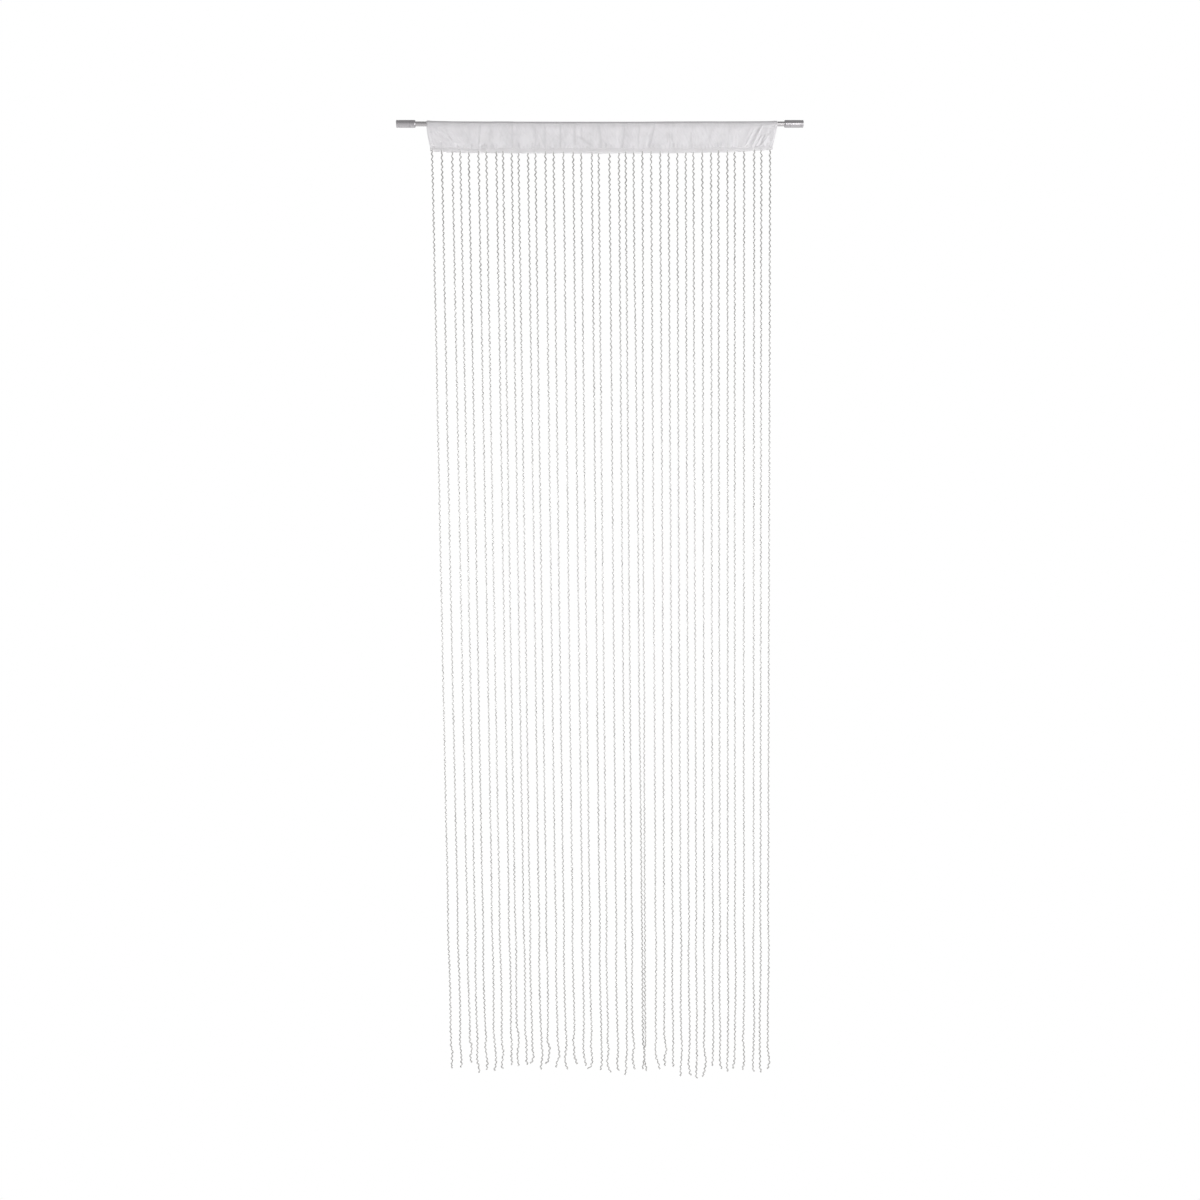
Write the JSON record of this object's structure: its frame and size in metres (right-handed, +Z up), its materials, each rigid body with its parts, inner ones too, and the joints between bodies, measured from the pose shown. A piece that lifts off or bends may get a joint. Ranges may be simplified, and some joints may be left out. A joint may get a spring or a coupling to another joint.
{
  "type": "string curtain with rod",
  "caption": "Door curtain of long crimped yarns hanging from a folded cloth header, on a plain metal rod with two end caps",
  "frame": {"origin": "on the rod's axis, halfway along the rod", "axes": "+X to the right along the rod, +Z up, the curtain's front faces -Y"},
  "size_m": [1.03, 0.0192, 2.5292],
  "materials": {
    "rod_metal": "satin plated tube",
    "cap_metal": "satin turned caps",
    "header_cloth": "plain white woven cloth, softly creased",
    "yarn": "off-white crimped cotton yarn"
  },
  "bodies": {
    "root": {"rod": "rod_metal", "left_cap": "cap_metal", "right_cap": "cap_metal", "header": "header_cloth", "string_band": "yarn"}
  },
  "joints": []
}
